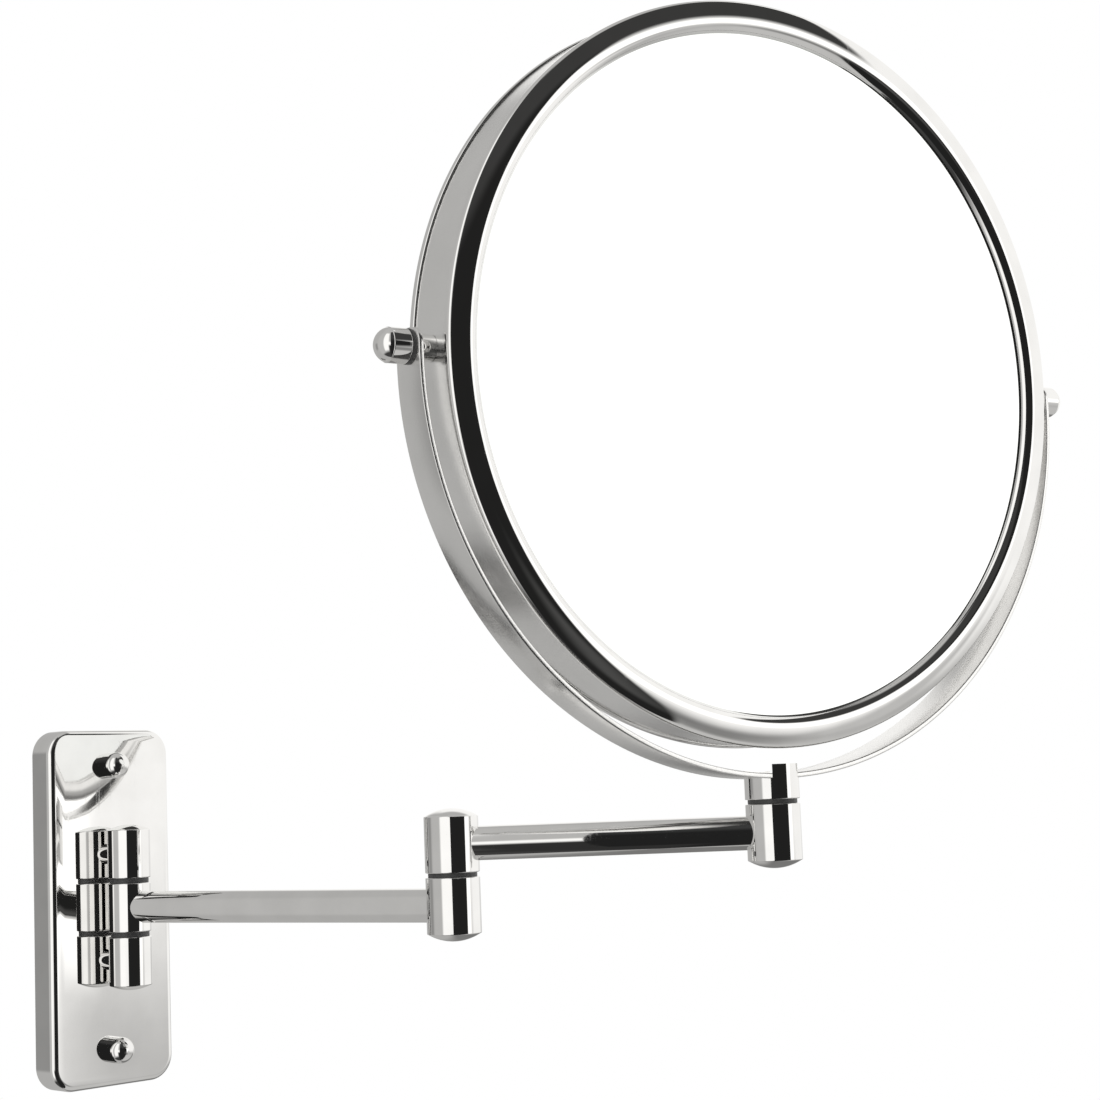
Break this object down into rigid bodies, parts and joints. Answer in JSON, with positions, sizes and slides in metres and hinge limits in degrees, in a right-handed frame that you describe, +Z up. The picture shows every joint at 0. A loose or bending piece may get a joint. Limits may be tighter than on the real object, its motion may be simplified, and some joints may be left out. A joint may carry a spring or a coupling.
{
  "type": "extendable shaving mirror",
  "caption": "Wall-mounted round shaving mirror with two swinging arms, a swivelling U-shaped yoke and a two-sided head that turns over",
  "frame": {"origin": "centre of the wall plate's back, on the wall", "axes": "+Z is up, +X is to the right seen from the room, +Y goes into the wall, so the wall's outward normal is -Y; stored with the lower arm swung 13.6 degrees to the right, the upper arm 41.3 degrees to the right, and the mirror facing 13.5 degrees to the left and 2 degrees down"},
  "size_m": [0.2454, 0.2474, 0.3193],
  "materials": {
    "chrome": "bright polished chrome plate",
    "plain_mirror": "flat silvered glass",
    "dished_mirror": "concave silvered glass",
    "zinc_steel": "zinc-plated steel",
    "brass": "turned brass",
    "nylon": "graphite-grey nylon",
    "frame_plastic": "moulded ABS",
    "foam": "closed-cell foam sheet"
  },
  "bodies": {
    "wall_mount": {"wall_plate": "chrome", "wall_bracket": "zinc_steel", "bracket_bosses": "zinc_steel", "cap_screw_upper": "chrome", "cap_screw_lower": "chrome", "hinge_peg_upper": "chrome", "hinge_peg_lower": "chrome", "hinge_peg_nuts": "zinc_steel", "wall_knuckle_upper": "chrome", "wall_knuckle_lower": "chrome", "wall_hinge_pin": "zinc_steel", "wall_hinge_cap_upper": "chrome", "wall_hinge_cap_lower": "chrome", "wall_hinge_washer_upper": "nylon", "wall_hinge_washer_lower": "nylon"},
    "lower_arm": {"lower_arm_tube": "chrome", "arm_hinge_knuckle": "chrome", "elbow_lower_knuckle": "chrome", "elbow_bottom_cap": "chrome", "elbow_pin": "zinc_steel", "elbow_washer": "nylon", "elbow_spring_washer": "zinc_steel", "elbow_lock_nut": "zinc_steel"},
    "upper_arm": {"upper_arm_tube": "chrome", "elbow_upper_knuckle": "chrome", "elbow_top_cap": "chrome", "post_lower_knuckle": "chrome", "post_bottom_cap": "chrome"},
    "yoke": {"yoke_band": "chrome", "post_sleeve": "chrome", "post_pin": "zinc_steel", "post_washer": "nylon", "post_spring_washer": "zinc_steel", "post_lock_nut": "zinc_steel", "yoke_screw": "zinc_steel", "pivot_inner_washer_left": "nylon", "pivot_inner_washer_right": "nylon", "pivot_outer_washer_left": "nylon", "pivot_outer_washer_right": "nylon"},
    "mirror_head": {"drum_band": "chrome", "front_bezel": "chrome", "back_bezel": "chrome", "front_glass": "plain_mirror", "back_glass": "dished_mirror", "front_pad": "foam", "back_pad": "foam", "inner_frame": "frame_plastic", "pivot_insert_left": "brass", "pivot_insert_right": "brass", "pivot_stud_left": "zinc_steel", "pivot_stud_right": "zinc_steel", "pivot_spacer_left": "chrome", "pivot_spacer_right": "chrome", "pivot_knob_left": "chrome", "pivot_knob_right": "chrome", "pivot_knob_cap_left": "chrome", "pivot_knob_cap_right": "chrome"}
  },
  "joints": [
    {"name": "wall_hinge", "type": "hinge", "parent": "wall_mount", "child": "lower_arm", "pos_m": [0, -0.0194, 0], "axis": [0, 0, 1], "range_deg": [-103.6, 76.4]},
    {"name": "elbow_hinge", "type": "hinge", "parent": "lower_arm", "child": "upper_arm", "pos_m": [0.02916, -0.13992, 0.00885], "axis": [0, 0, 1], "range_deg": [-152.7, 97.3]},
    {"name": "head_swivel", "type": "hinge", "parent": "upper_arm", "child": "yoke", "pos_m": [0.0912, -0.21054, 0.0265], "axis": [0, 0, 1], "continuous": true},
    {"name": "mirror_tilt", "type": "hinge", "parent": "yoke", "child": "mirror_head", "pos_m": [0.0912, -0.21054, 0.152], "axis": [0.9724, -0.2334, 0], "continuous": true}
  ]
}
